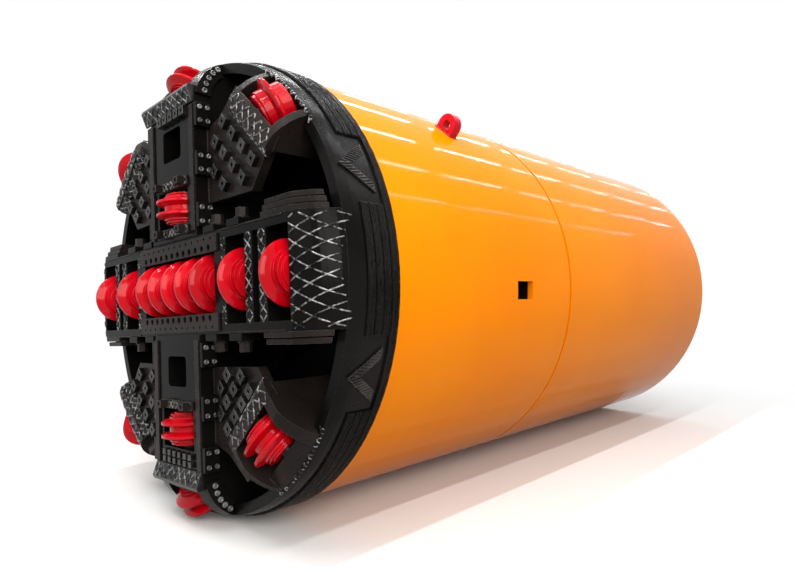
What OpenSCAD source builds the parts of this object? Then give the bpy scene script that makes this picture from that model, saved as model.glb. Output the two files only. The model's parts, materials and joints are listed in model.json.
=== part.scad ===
// Pipe-jacking tunnel boring machine: a disc cutter head on a two-section steel shield.
// The origin is on the axis at the mouth of the tail. +Z is up, and the cutting face looks along -Y.

/* [Shield] */
// outside diameter of both shield sections
shield_diameter = 2900; // [2860:20:2940]
// thickness of the shield skin
skin_wall = 44; // [40:1:48]
// length of the front section
front_length = 1838; // [1800:10:1900]
// length of the rear section
rear_length = 3026; // [2900:10:3100]
// open slit between the two sections
seam_gap = 30; // [28:1:34]
// thickness of the collar that takes the first pipe
collar_wall = 25; // [20:1:28]
// depth of the socket in the collar
socket_depth = 200; // [160:10:240]
// width of the ring face that the pipe pushes on
jacking_face = 190; // [150:10:230]
// thickness of the jacking ring
jacking_thickness = 70; // [50:5:90]
// angle of the lifting lugs from the horizontal
lug_angle = 51; // [48:1:55]
// distance of the front lugs behind the front edge
lug_setback = 1030; // [950:10:1100]
// distance of the rear lug in front of the tail
rear_lug_from_tail = 1430; // [1300:10:1500]
// width of a lug across the skin
lug_width = 160; // [140:5:180]
// thickness of a lug along the axis
lug_thickness = 70; // [60:5:80]
// height of a lug over the skin
lug_height = 132; // [120:2:144]
// diameter of the hole in a lug
lug_hole = 66; // [56:2:72]
// length of the side port along the axis
port_length = 190; // [170:5:210]
// height of the side port
port_height = 122; // [100:2:140]
// distance of the side port behind the front edge
port_setback = 1225; // [1150:5:1300]

/* [Articulation] */
// half width of the spherical sealing ring
ring_half_width = 70; // [60:2:80]
// thickness of the sealing ring
ring_thickness = 9.4; // [8:0.2:12]
// free way of the ring in its groove, to each side
ring_play = 22; // [21:0.5:26]
// thickness of the spigot under the ring
spigot_wall = 56; // [50:2:64]
// room between a steering cylinder and the spigot
steer_clearance = 85; // [70:5:100]
// radius of a steering cylinder barrel
steer_barrel = 75; // [70:1:80]
// length of a steering cylinder barrel
barrel_length = 640; // [600:10:680]
// radius of a steering rod
steer_rod = 36; // [30:1:40]

/* [Drive] */
// distance of the bulkhead behind the front edge
bulkhead_setback = 790; // [760:5:820]
// thickness of the bulkhead
bulkhead_wall = 60; // [50:2:70]
// radius of the head shaft
shaft_radius = 420; // [400:5:430]
// length of the shaft behind the bulkhead
shaft_tail = 300; // [260:10:320]
// radius of the main drive casing as a share of the shield radius
drive_share = 0.455; // [0.43:0.005:0.48]
// length of the main drive casing
drive_length = 560; // [520:10:580]
// number of drive motors
motor_count = 6; // [5:1:6]
// radius of a drive motor
motor_radius = 125; // [110:5:130]
// length of a drive motor
motor_length = 400; // [360:10:420]
// distance of a slurry pipe's middle from the skin
pipe_inset = 355; // [340:5:370]
// angle of the slurry pipes from straight down
pipe_angle = 21.2; // [20:0.2:24]
// outside radius of a slurry pipe
pipe_radius = 110; // [100:2:116]
// length of the slurry pipes behind the bulkhead
pipe_length = 1740; // [1600:10:1800]

/* [Rear fittings] */
// height of the walkway over the lowest line inside the skin
walkway_rise = 506; // [480:2:540]
// width of the walkway
walkway_width = 500; // [460:10:560]
// clearance between the walkway and the steering cylinders
walkway_gap = 81; // [60:1:120]
// distance of the walkway from the tail
walkway_from_tail = 600; // [560:10:640]
// depth of the cabinets from the skin inwards
cabinet_depth = 690; // [640:10:720]
// height of the cabinets
cabinet_height = 840; // [780:10:900]
// length of the cabinets
cabinet_length = 1250; // [1100:10:1280]
// distance of the cabinets from the tail
cabinet_from_tail = 900; // [860:10:960]

/* [Cutter head] */
// angle at which the head has stopped
head_turn = 3.7; // [0:0.1:6]
// how far the rim stands outside the shield
rim_overcut = 4; // [2:1:8]
// thickness of the rim
rim_wall = 80; // [70:2:90]
// free slit between rim and shield
rim_gap = 15; // [10:1:20]
// front edge of the rim ahead of the shield
rim_front = 350; // [330:5:370]
// face of the spokes ahead of the shield
face_depth = 550; // [540:2:560]
// radius of the rounded shoulder of the spokes
shoulder_radius = 300; // [280:5:310]
// back of the spokes ahead of the shield
spoke_back = 60; // [50:5:80]
// half width of the spokes
spoke_half = 300; // [292:2:304]
// half length of the centre box
centre_half = 545; // [535:5:550]
// face of the horizontal spoke ahead of the shield
cross_depth = 535; // [530:1:540]
// front of the stud plates ahead of the shield
stud_plate_depth = 460; // [450:2:470]
// thickness of the stud plates
stud_plate_wall = 60; // [50:2:70]
// side of a wear stud as a share of the rim radius
stud_share = 0.0454; // [0.04:0.0002:0.047]
// height of a wear stud
stud_height = 34; // [28:1:38]

/* [Cutters] */
// radius of a disc cutter at its edge
disc_radius = 178; // [172:1:180]
// radius of a cutter hub
hub_radius = 128; // [120:1:132]
// width of a single cutter hub
single_width = 176; // [168:1:178]
// width of a twin cutter hub
twin_width = 204; // [196:2:208]
// spacing of the two edges of a twin cutter
twin_pitch = 80; // [72:1:84]
// width of a cutting edge at its tip
tip_width = 15; // [12:1:18]
// width of a cutting edge at the hub
root_width = 52; // [46:1:56]
// cutter axis ahead of the shield
axis_depth = 465; // [462:1:470]
// spacing of the centre cutters
centre_pitch = 187.5; // [186:0.5:188]
// place of the inner spoke cutters as a share of the arm
inner_share = 0.1705; // [0.166:0.0005:0.175]
// place of the outer spoke cutters as a share of the arm
outer_share = 0.616; // [0.611:0.001:0.621]
// radius of the upper twin cutter
upper_twin = 505; // [500:1:510]
// distance of the lower twin cutter inside the rim
lower_twin_inset = 574; // [570:1:578]
// radius of a cutter axle
axle_radius = 45; // [42:1:48]
// running gap around axles and shafts
run_gap = 0.4; // [0.3:0.05:0.5]
// seat gap between pieces of one body
seat_gap = 0.3; // [0.25:0.05:0.4]

/* [Wear parts] */
// width of a ridge beside the ends of the horizontal spoke
ridge_width = 36; // [32:1:38]
// step down from one ridge to the next
ridge_step = 14; // [10:1:16]
// thickness of the bolted cheek bands
cheek_thickness = 22; // [18:1:26]
// width of the cheek bands
cheek_width = 104; // [96:2:108]
// width of the slanted beams along the arm
beam_width = 108; // [100:2:112]
// height of the slanted beams over the face
beam_height = 42; // [36:1:46]
// side of a tooth in front of the upper beam
tooth_side = 56; // [50:2:58]
// height of a tooth
tooth_height = 32; // [26:1:36]
// height of the strips on the face
strip_height = 12; // [10:1:14]
// height of the bands and chevrons over the rim
band_height = 9; // [7:0.5:9]
// width of a band along the axis
band_width = 48; // [44:1:50]
// half width of a chevron around the rim
chevron_half = 150; // [140:2:156]
// angle of the chevrons from the horizontal
chevron_angle = 22; // [20:0.5:24]

/* [Hidden] */
$fn = 96;
shield_r = shield_diameter / 2;
skin_in = shield_r - skin_wall;
seat_r = skin_in - seat_gap;
seam_y = -(rear_length + seam_gap / 2);
front_back_y = -(rear_length + seam_gap);
front_y = front_back_y - front_length;
rear_front_y = -rear_length;
ring_out = skin_in - seat_gap;
ring_in = ring_out - ring_thickness;
spigot_out = ring_in - seat_gap;
spigot_in = spigot_out - spigot_wall;
bulk_y = front_y + bulkhead_setback;
bulk_back_y = bulk_y + bulkhead_wall;
drive_back_y = bulk_back_y + drive_length;
rim_r = shield_r + rim_overcut;
rim_in = rim_r - rim_wall;
arm_end = rim_in - seat_gap;
flat_r = rim_r - shoulder_radius;
axle_bore = axle_radius + seat_gap;
steer_radius = spigot_in - steer_clearance - steer_barrel;
barrel_y0 = seam_y + 120;
barrel_y1 = barrel_y0 + barrel_length;
drive_radius = drive_share * shield_r;
pipe_ring = seat_r - pipe_inset;
port_y = front_y + port_setback;
port_z = -12;
pipe_wall = 12;
pipe_bore = pipe_radius - pipe_wall;
edge_room = 22;
single_side = 12;
twin_side = 18;
pocket_half = disc_radius + edge_room;
single_slot = single_width / 2 + single_side;
twin_slot = twin_width / 2 + twin_side;
axle_bite = 36;
lower_twin = rim_r - lower_twin_inset;

// a place on an arm, as a share of the way from its foot to the rim
function out_from(start, share) = start + share * (rim_r - start);
inner_x = out_from(centre_half, inner_share);
outer_x = out_from(centre_half, outer_share);
corner_angle = 46;
single_box_inset = 289;
twin_box_inset = 424;
single_box = rim_r - single_box_inset;
twin_box = rim_r - twin_box_inset;
box_half = 252;
bar_half = 0.172 * rim_r;
// where the edges of two spokes meet, along the middle of a corner
spoke_corner = spoke_half * (cos(corner_angle) + sin(corner_angle));
box_top = 514;
box_drop = 22;
bar_radius = 44;

// angle, distance inside the rim, depth, tilt and edges of each gauge cutter
gauge_at = [
    [90, 154, 385, 38, 2], [-90, 169, 385, 38, 2], [46, 154, 378, 48, 1],
    [134, 154, 378, 48, 1], [226, 154, 378, 48, 1], [-47, 259, 392, 22, 2]
];

black = [0.06, 0.06, 0.065];
steel = [0.42, 0.41, 0.4];
yellow = [0.96, 0.66, 0.03];
red = [0.75, 0.04, 0.05];
grey = [0.35, 0.36, 0.38];

// placing

// head frame: x to the side, y up, z forward of the shield edge
module in_head() {
    translate([0, front_y, 0]) rotate([0, -head_turn, 0]) rotate([90, 0, 0]) children();
}

// a cylinder along the machine axis between two values of y
module along(y0, y1, r) {
    translate([0, y0, 0]) rotate([-90, 0, 0]) cylinder(h = y1 - y0, r = r);
}

module tube_along(y0, y1, r_out, r_in) {
    difference() {
        along(y0, y1, r_out);
        along(y0 - 1, y1 + 1, r_in);
    }
}

module block(x0, x1, y0, y1, z0, z1) {
    translate([x0, y0, z0]) cube([x1 - x0, y1 - y0, z1 - z0]);
}

// axle frame of a gauge cutter: z along the axle, x towards the cutting edge
module at_gauge(i) {
    g = gauge_at[i];
    rotate([0, 0, g[0]]) translate([rim_r - g[1], 0, g[2]]) rotate([0, 90 + g[3], 0]) rotate([0, 0, 180])
        children();
}

// the turned outline of the head: flat face and rounded shoulder
module shoulder() {
    steps = 14;
    arc = [for (i = [0:steps]) [flat_r + shoulder_radius * sin(90 * i / steps),
        face_depth - shoulder_radius + shoulder_radius * cos(90 * i / steps)]];
    rotate_extrude($fn = 240) polygon(concat([[0, 0]], [[0, face_depth]], arc, [[rim_r, 0]]));
}

// the space that the rim fills, taken out of what ends at it
module rim_room() {
    translate([0, 0, -1]) difference() {
        cylinder(h = rim_front + seat_gap + 1, r = rim_r + 100);
        translate([0, 0, -1]) cylinder(h = rim_front + 10, r = arm_end, $fn = 240);
    }
}

// cutters

// one cutting edge at place s along the hub, with round flanks
function edge_outline(s) =
    let (belly_r = hub_radius + 0.6 * (disc_radius - hub_radius), belly = 0.32 * root_width)
    [[hub_radius, s - root_width / 2], [belly_r, s - belly], [disc_radius, s - tip_width / 2],
    [disc_radius, s + tip_width / 2], [belly_r, s + belly], [hub_radius, s + root_width / 2]];

// steps of a hub from the foot of its cutting edge to its end
function hub_steps(from, to) =
    let (low = hub_radius - 16, ring = hub_radius - 8, end = hub_radius - 30, way = to - from,
        groove = from + 0.3 * way, collar = from + 0.55 * way, neck = from + 0.75 * way)
    [[hub_radius, groove], [low, groove], [low, collar], [ring, collar], [ring, neck], [end, neck], [end, to],
    [axle_radius + run_gap, to]];

// end of a smooth drum hub
function drum_end(to) = let (cap = 16, cap_r = hub_radius - 14)
    [[hub_radius, to - cap], [cap_r, to - cap], [cap_r, to], [axle_radius + run_gap, to]];

// the same outline on the other side of the middle, read backwards
function mirrored(points) = [for (i = [len(points) - 1:-1:0]) [points[i][0], -points[i][1]]];

// hub and cutting edges, turned about z
module cutter(width, edges, drum = false) {
    shifts = edges == 1 ? [0] : [-twin_pitch / 2, twin_pitch / 2];
    last = shifts[edges - 1] + root_width / 2;
    side = drum ? drum_end(width / 2) : hub_steps(last, width / 2);
    color(red) rotate_extrude()
        polygon(concat(mirrored(side), [for (s = shifts) each edge_outline(s)], side));
}

module side_cutter(x) {
    in_head() translate([x, 0, axis_depth]) rotate([0, 90, 0]) cutter(single_width, 1);
}

module spoke_twin(y) {
    in_head() translate([0, y, axis_depth]) rotate([-90, 0, 0]) cutter(twin_width, 2);
}

module gauge_cutter(i) {
    edges = gauge_at[i][4];
    in_head() at_gauge(i) cutter(edges == 1 ? single_width : twin_width, edges, drum = edges == 1);
}

module disc_c1() side_cutter(-2 * centre_pitch);
module disc_c2() side_cutter(-centre_pitch);
module disc_c3() side_cutter(0);
module disc_c4() side_cutter(centre_pitch);
module disc_c5() side_cutter(2 * centre_pitch);
module disc_r1() side_cutter(inner_x);
module disc_r2() side_cutter(outer_x);
module disc_l1() side_cutter(-inner_x);
module disc_l2() side_cutter(-outer_x);
module twin_top() spoke_twin(upper_twin);
module twin_bottom() spoke_twin(-lower_twin);
module gauge_top() gauge_cutter(0);
module gauge_bottom() gauge_cutter(1);
module gauge_ur() gauge_cutter(2);
module gauge_ul() gauge_cutter(3);
module gauge_ll() gauge_cutter(4);
module gauge_lr() gauge_cutter(5);

// axles

function gauge_reach(i) = (gauge_at[i][4] == 1 ? single_slot : twin_slot) + axle_bite;

module centre_axle() {
    reach = 2 * centre_pitch + single_slot + axle_bite;
    color(steel) in_head() translate([-reach, 0, axis_depth]) rotate([0, 90, 0])
        cylinder(h = 2 * reach, r = axle_radius);
}

module spoke_axles() {
    side = single_slot + axle_bite;
    up = twin_slot + axle_bite;
    color(steel) in_head() {
        for (x = [-outer_x, -inner_x, inner_x, outer_x])
            translate([x - side, 0, axis_depth]) rotate([0, 90, 0]) cylinder(h = 2 * side, r = axle_radius);
        for (y = [upper_twin, -lower_twin])
            translate([0, y + up, axis_depth]) rotate([90, 0, 0]) cylinder(h = 2 * up, r = axle_radius);
    }
}

module gauge_axles() {
    color(steel) in_head() for (i = [0:5]) at_gauge(i)
        translate([0, 0, -gauge_reach(i)]) cylinder(h = 2 * gauge_reach(i), r = axle_radius);
}

// room for a gauge cutter and for its axle
module gauge_room(i) {
    slot = gauge_at[i][4] == 1 ? single_slot : twin_slot;
    at_gauge(i) {
        translate([-pocket_half, -pocket_half, -slot]) cube([pocket_half + 420, 2 * pocket_half, 2 * slot]);
        translate([0, 0, -gauge_reach(i) - seat_gap])
            cylinder(h = 2 * gauge_reach(i) + 2 * seat_gap, r = axle_bore);
    }
}

// the mouth that opens the outer side of a gauge pocket down to the rim
module gauge_mouth(i) {
    slot = gauge_at[i][4] == 1 ? single_slot : twin_slot;
    gauge_room(i);
    at_gauge(i) translate([axle_radius + 6, -pocket_half, slot - 1]) cube([400, 2 * pocket_half, 220]);
}

// head structure

module head_hub() {
    flare = 640;
    neck = 260;
    color(black) in_head() {
        translate([0, 0, -bulkhead_setback - bulkhead_wall - shaft_tail])
            cylinder(h = bulkhead_wall + shaft_tail + neck, r = shaft_radius);
        translate([0, 0, neck - bulkhead_setback])
            cylinder(h = spoke_back + bulkhead_setback - neck, r1 = shaft_radius, r2 = flare);
    }
}

module head_rim() {
    color(black) in_head() difference() {
        intersection() {
            shoulder();
            translate([0, 0, rim_gap]) difference() {
                cylinder(h = rim_front - rim_gap, r = rim_r + 5);
                translate([0, 0, -1]) cylinder(h = rim_front, r = rim_in, $fn = 240);
            }
        }
        for (i = [0:5]) gauge_room(i);
    }
}

// angles of the chevrons round the rim
chevron_turns = [chevron_angle, 180 - chevron_angle, 180 + chevron_angle, -chevron_angle];

// a slice of the head between two angles on each side of a turn
module slice(turn, half, z0, z1) {
    reach = rim_r + 100;
    rotate([0, 0, turn]) translate([0, 0, z0]) linear_extrude(z1 - z0)
        polygon([[0, 0], [reach, -reach * tan(half)], [reach, reach * tan(half)]]);
}

// hard bands on the rim; only the rearmost one runs past the chevrons
module rim_bars() {
    first = 26;
    groove = 8;
    bare = 8.4;
    inside = rim_r + seat_gap;
    color(steel) in_head() for (i = [0:3]) let (z = first + i * (band_width + groove)) difference() {
        translate([0, 0, z]) cylinder(h = band_width, r = inside + band_height, $fn = 240);
        translate([0, 0, z - 1]) cylinder(h = band_width + 2, r = inside, $fn = 240);
        if (i > 0) for (turn = chevron_turns) slice(turn, bare, z - 1, z + band_width + 1);
    }
}

// chevrons on the rim, pointing forward
module rim_chevrons() {
    tip = 316;
    foot = 112;
    across = 58;
    notch = tip - across * (tip - foot) / chevron_half;
    reach = 100;
    outline = [[0, tip], [chevron_half, foot], [chevron_half - across, foot], [0, notch],
        [across - chevron_half, foot], [-chevron_half, foot]];
    color(steel) in_head() for (turn = chevron_turns) difference() {
        intersection() {
            cylinder(h = tip + 1, r = rim_r + seat_gap + band_height, $fn = 240);
            rotate([0, 0, turn]) translate([rim_r - reach, 0, 0]) rotate([90, 0, 90])
                linear_extrude(2 * reach) polygon(outline);
        }
        cylinder(h = tip + 2, r = rim_r + seat_gap, $fn = 240);
    }
}

module centre_box() {
    pocket = 2 * centre_pitch + single_slot;
    color(black) in_head() difference() {
        block(-centre_half, centre_half, -spoke_half, spoke_half, spoke_back, cross_depth);
        block(-pocket, pocket, -pocket_half, pocket_half, axis_depth - pocket_half, cross_depth + 1);
        translate([-centre_half - 1, 0, axis_depth]) rotate([0, 90, 0])
            cylinder(h = 2 * centre_half + 2, r = axle_bore);
    }
}

// plates with two rows of holes above and below the centre cutters
module centre_plates() {
    inner = 178;
    outer = 282;
    plate = 14;
    end_room = 24;
    // distance of the row from the middle, radius of its holes, their number and their spacing
    rows = [[206, 20, 12, 78], [258, 10, 13, 76]];
    color(black) in_head() for (s = [0, 1]) mirror([0, s, 0]) difference() {
        block(end_room - centre_half, centre_half - end_room, inner, outer, cross_depth, cross_depth + plate);
        for (row = rows, i = [0:row[2] - 1])
            translate([(i - (row[2] - 1) / 2) * row[3], row[0], cross_depth - 1])
                cylinder(h = plate + 2, r = row[1], $fn = 24);
    }
}

// one arm of the horizontal spoke, drawn on the +X side
module side_arm() {
    post_gap = 30;
    between = (inner_x + outer_x) / 2;
    pocket_y = 245;
    floor_z = axis_depth - pocket_half;
    intersection() {
        shoulder();
        difference() {
            block(centre_half, rim_r, -spoke_half, spoke_half, spoke_back, cross_depth);
            rim_room();
            for (x = [inner_x, outer_x]) {
                block(x - single_slot, x + single_slot, -pocket_y, pocket_y, floor_z, cross_depth + 50);
                translate([x - single_slot - axle_bite - seat_gap, 0, axis_depth]) rotate([0, 90, 0])
                    cylinder(h = 2 * (single_slot + axle_bite + seat_gap), r = axle_bore);
            }
            block(between - post_gap, between + post_gap, -pocket_y, pocket_y, floor_z, cross_depth + 50);
        }
    }
}

module arm_right() { color(black) in_head() side_arm(); }
module arm_left() { color(black) in_head() mirror([1, 0, 0]) side_arm(); }

// an upright arm, drawn on the +y side of the head frame, with its twin cutter and its hatch
module upright_arm(twin_y, hatch_y0, hatch_y1) {
    hatch = 121;
    round = 26;
    floor_z = axis_depth - pocket_half;
    intersection() {
        shoulder();
        difference() {
            block(-spoke_half, spoke_half, spoke_half, rim_r, spoke_back, face_depth + 1);
            rim_room();
            block(-pocket_half, pocket_half, twin_y - twin_slot, twin_y + twin_slot, floor_z, face_depth + 9);
            translate([0, twin_y + twin_slot + axle_bite + seat_gap, axis_depth]) rotate([90, 0, 0])
                cylinder(h = 2 * (twin_slot + axle_bite + seat_gap), r = axle_bore);
            block(-hatch, hatch, hatch_y0 + round, hatch_y1 - round, spoke_back - 1, face_depth + 9);
            block(-hatch + round, hatch - round, hatch_y0, hatch_y1, spoke_back - 1, face_depth + 9);
            for (x = [-1, 1], y = [hatch_y0 + round, hatch_y1 - round])
                translate([x * (hatch - round), y, spoke_back - 1])
                    cylinder(h = face_depth, r = round, $fn = 32);
        }
    }
}

module arm_top() {
    tooth_room = 134;
    color(black) in_head() difference() {
        upright_arm(upper_twin, out_from(spoke_half, 0.4463), flat_r - tooth_room);
        gauge_mouth(0);
    }
}
module arm_bottom() {
    color(black) in_head() difference() {
        mirror([0, 1, 0])
            upright_arm(lower_twin, out_from(spoke_half, 0.1127), out_from(spoke_half, 0.2773));
        gauge_mouth(1);
    }
}

// a place in a corner: along its middle, and across it
function corner_point(p, q) = [p * cos(corner_angle) - q * sin(corner_angle),
    p * sin(corner_angle) + q * cos(corner_angle)];

// a place beside the spokes, as shares of the rim radius
function beside_spoke(x, y) = [spoke_half + x * rim_r, y * rim_r];

// the stud plate between two spokes, which runs under the box of the gauge cutter
corner_outline = [beside_spoke(0, 0.344), beside_spoke(0.327, 0.337), beside_spoke(0.413, 0.44),
    corner_point(single_box + 44, -187), corner_point(single_box + 92, 325),
    beside_spoke(0.1, 0.688), beside_spoke(0, 0.66)];

// stud plate and box for the gauge cutter, drawn for the +x +y quarter
module corner(box_in) {
    difference() {
        union() {
            translate([0, 0, stud_plate_depth - stud_plate_wall]) linear_extrude(stud_plate_wall)
                polygon(corner_outline);
            intersection() {
                translate([0, 0, -box_drop]) shoulder();
                rotate([0, 0, corner_angle])
                    block(box_in, rim_r, -box_half, box_half, spoke_back, box_top);
            }
        }
        rim_room();
    }
}

module corner_ur() {
    color(black) in_head() difference() { corner(single_box); gauge_mouth(2); }
}
module corner_ul() {
    color(black) in_head() difference() { mirror([1, 0, 0]) corner(single_box); gauge_mouth(3); }
}
module corner_ll() {
    color(black) in_head() difference() {
        mirror([1, 0, 0]) mirror([0, 1, 0]) corner(single_box);
        gauge_mouth(4);
    }
}
module corner_lr() {
    color(black) in_head() difference() { mirror([0, 1, 0]) corner(twin_box); gauge_mouth(5); }
}

// studs with a hole, in rows that follow the corner box: the row, then places along it, as shares of the
// room between the first row and the corner of the spokes
wide_rows = [[0, [-0.22, 0.002, 0.224, 0.448]], [0.217, [-0.193, 0.022, 0.238, 0.44]],
    [0.443, [0.052, 0.266]]];
close_rows = [[0, [-0.175, 0.03, 0.24, 0.449]], [0.213, [-0.167, 0.04, 0.249, 0.44]],
    [0.414, [0.032, 0.241]]];

module stud_field(first, rows) {
    room = first - spoke_corner;
    side = stud_share * rim_r;
    hole = 0.2 * side;
    floor = 4;
    rotate([0, 0, corner_angle]) for (row = rows, q = row[1])
        translate([first - row[0] * room, q * room, stud_plate_depth]) difference() {
            block(-side / 2, side / 2, -side / 2, side / 2, 0, stud_height);
            translate([0, 0, floor]) cylinder(h = stud_height, r = hole, $fn = 24);
        }
}

module wear_studs() {
    wide_room = 120;
    close_room = 80;
    wide = single_box - wide_room;
    close = twin_box - close_room;
    color(steel) in_head() {
        stud_field(wide, wide_rows);
        mirror([1, 0, 0]) stud_field(wide, wide_rows);
        mirror([1, 0, 0]) mirror([0, 1, 0]) stud_field(wide, wide_rows);
        mirror([0, 1, 0]) stud_field(close, close_rows);
    }
}

// quarter round bars at the foot of the corner boxes
module hard_bar(box_in) {
    rotate([0, 0, corner_angle]) translate([box_in, 0, stud_plate_depth]) intersection() {
        translate([0, bar_half, 0]) rotate([90, 0, 0]) cylinder(h = 2 * bar_half, r = bar_radius, $fn = 64);
        block(-bar_radius - 1, 0, -bar_half - 1, bar_half + 1, 0, bar_radius + 2);
    }
}

module hard_bars() {
    color(steel) in_head() {
        hard_bar(single_box);
        mirror([1, 0, 0]) hard_bar(single_box);
        mirror([1, 0, 0]) mirror([0, 1, 0]) hard_bar(single_box);
        mirror([0, 1, 0]) hard_bar(twin_box);
    }
}

// bolted blocks along the edges of the spokes, with a second tooth on the left of the upright arms
block_thick = 40;
pad_back = 415;
pad_room = 120;
pad_places = [spoke_half + pad_room, out_from(spoke_half, 0.338)];

module side_blocks() {
    half = 72;
    pad_half = 62;
    proud = 6;
    tooth = 38;
    tooth_half = 50;
    tooth_drop = 20;
    cheek_room = 119;
    side = spoke_half + block_thick;
    inner = out_from(spoke_half, 0.104);
    middle = out_from(spoke_half, 0.377);
    outer = flat_r - cheek_room;
    color(black) in_head() for (sx = [0, 1], sy = [0, 1]) mirror([sx, 0, 0]) mirror([0, sy, 0]) {
        for (y = [inner, middle, outer])
            block(spoke_half, side, y - half, y + half, stud_plate_depth, face_depth + proud);
        if (sx == 1) for (y = [inner, outer])
            block(side - 1, side + tooth, y - tooth_half, y + tooth_half, stud_plate_depth,
                face_depth - tooth_drop);
        for (x = pad_places)
            block(x - pad_half, x + pad_half, spoke_half, side, pad_back, cross_depth + proud);
    }
}

// large bolts on the pads, above and below the horizontal spoke
module edge_bolts() {
    washer = 44;
    washer_height = 14;
    bolt = 36;
    bolt_height = 52;
    color(grey) in_head() for (sx = [0, 1], sy = [0, 1]) mirror([sx, 0, 0]) mirror([0, sy, 0])
        for (x = pad_places)
            translate([x, spoke_half + block_thick, (pad_back + cross_depth) / 2])
                rotate([-90, 0, 0]) {
                    cylinder(h = washer_height, r = washer, $fn = 48);
                    cylinder(h = washer_height + bolt_height, r = bolt, $fn = 6);
                }
}

// ridged strips beside the ends of the horizontal spoke, three above and two below
module edge_ribs() {
    start = out_from(centre_half, 0.46);
    back = 405;
    groove = 7;
    sunk = 62;
    color(black) in_head() for (sx = [0, 1], sy = [0, 1]) mirror([sx, 0, 0]) mirror([0, sy, 0])
        let (count = sy == 0 ? 3 : 2) {
            intersection() {
                translate([0, 0, -sunk]) shoulder();
                block(start, rim_r, spoke_half, spoke_half + count * ridge_width - groove, back, cross_depth);
            }
            for (i = [0:count - 1]) let (y = spoke_half + i * ridge_width, drop = i * ridge_step)
                intersection() {
                    translate([0, 0, -drop]) shoulder();
                    block(start, rim_r, y, y + ridge_width - groove, back, cross_depth - drop);
                }
        }
}

// bolted bands on both sides of the upright arms, along the round shoulder
module cheek_plates() {
    from = 4;
    to = 57;
    edge = 6;
    outside = shoulder_radius - edge;
    wedge = [for (a = [from, to]) 2 * shoulder_radius * [sin(a), cos(a)]];
    color(black) in_head() for (sx = [0, 1], sy = [0, 1]) mirror([sx, 0, 0]) mirror([0, sy, 0])
        intersection() {
            shoulder();
            translate([spoke_half, flat_r, face_depth - shoulder_radius]) rotate([90, 0, 90]) intersection() {
                difference() {
                    cylinder(h = cheek_thickness, r = outside);
                    translate([0, 0, -1]) cylinder(h = cheek_thickness + 2, r = outside - cheek_width);
                }
                linear_extrude(cheek_thickness) polygon(concat([[0, 0]], wedge));
            }
        }
}

// a strip beside a twin cutter's pocket, with an ear near each end
module pocket_strip(y0, y1) {
    half = 210;
    ear_at = 150;
    ear_half = 30;
    ear = 44;
    ear_hole = 13;
    lip = 4;
    top = face_depth + strip_height;
    block(-half, half, y0, y1, face_depth, top);
    for (x = [-ear_at, ear_at]) difference() {
        block(x - ear_half, x + ear_half, y0 + lip, y1 - lip, top - 1, top + ear);
        translate([x, (y0 + y1) / 2, top]) cylinder(h = ear + 1, r = ear_hole, $fn = 24);
    }
}

// flat strips on the face: along both edges of the upright arms, and beside the pockets of the twin cutters
module face_strips() {
    inner = 252;
    start = 330;
    end_room = 50;
    room = 4;
    width = 54;
    above = upper_twin + twin_slot + room;
    below = upper_twin - twin_slot - room;
    inward = lower_twin - twin_slot - room;
    color(black) in_head() {
        for (sx = [0, 1], sy = [0, 1]) mirror([sx, 0, 0]) mirror([0, sy, 0])
            block(inner, spoke_half, start, flat_r - end_room, face_depth, face_depth + strip_height);
        pocket_strip(above, above + width);
        pocket_strip(below - width, below);
        pocket_strip(-inward, width - inward);
    }
}

// slanted beams across the upright arms, in front of the outermost cutters
module arm_beam(start, left, right) {
    foot = 10;
    ridge = 0.8 * beam_width;
    sunk = 30;
    difference() {
        translate([-left, start, face_depth]) rotate([90, 0, 90]) linear_extrude(left + right)
            polygon([[0, -sunk], [0, foot], [ridge, beam_height], [beam_width, beam_height - foot],
                [beam_width, -sunk]]);
        translate([0, 0, seat_gap]) shoulder();
    }
}

module arm_beams() {
    side = spoke_half - 6;
    overhang = 60;
    color(steel) in_head() {
        arm_beam(flat_r - 34, side + overhang, side);
        mirror([0, 1, 0]) arm_beam(flat_r - 46, side, side);
    }
}

// teeth in front of the beams: a row with holes above, two rows of small ones below
module arm_teeth() {
    pitch = 78;
    shift = 40;
    hole = 12;
    small_half = 17;
    small_pitch = 68;
    row = flat_r - 68;
    small_rows = [flat_r - 119, flat_r - 75];
    color(steel) in_head() {
        for (i = [-2:2]) translate([shift + i * pitch, row, face_depth]) difference() {
            block(-tooth_side / 2, tooth_side / 2, -tooth_side / 2, tooth_side / 2, 0, tooth_height);
            cylinder(h = tooth_height + 1, r = hole, $fn = 24);
        }
        for (i = [-2.5:2.5], y = small_rows) translate([i * small_pitch, -y, face_depth])
                block(-small_half, small_half, -small_half, small_half, 0, 0.6 * tooth_height);
    }
}

// front shield

// a lifting lug on the round skin, with its hole along the axis
module lug(angle, y) {
    eye = shield_r + lug_height - lug_width / 2;
    half = lug_thickness / 2;
    color(red) translate([0, y, 0]) rotate([0, -angle, 0]) difference() {
        union() {
            block(shield_r - 20, eye, -half, half, -lug_width / 2, lug_width / 2);
            translate([eye, -half, 0]) rotate([-90, 0, 0]) cylinder(h = lug_thickness, r = lug_width / 2);
        }
        translate([eye, -lug_thickness, 0]) rotate([-90, 0, 0])
            cylinder(h = 2 * lug_thickness, r = lug_hole / 2);
        along(-lug_thickness, lug_thickness, shield_r + seat_gap);
    }
}

module front_skin() {
    color(yellow) difference() {
        tube_along(front_y, front_back_y, shield_r, skin_in);
        for (s = [-1, 1]) translate([s * shield_r, port_y, port_z])
            cube([400, port_length, port_height], center = true);
    }
}

module front_lugs() {
    lug(lug_angle, front_y + lug_setback);
    lug(180 - lug_angle, front_y + lug_setback);
}

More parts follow.
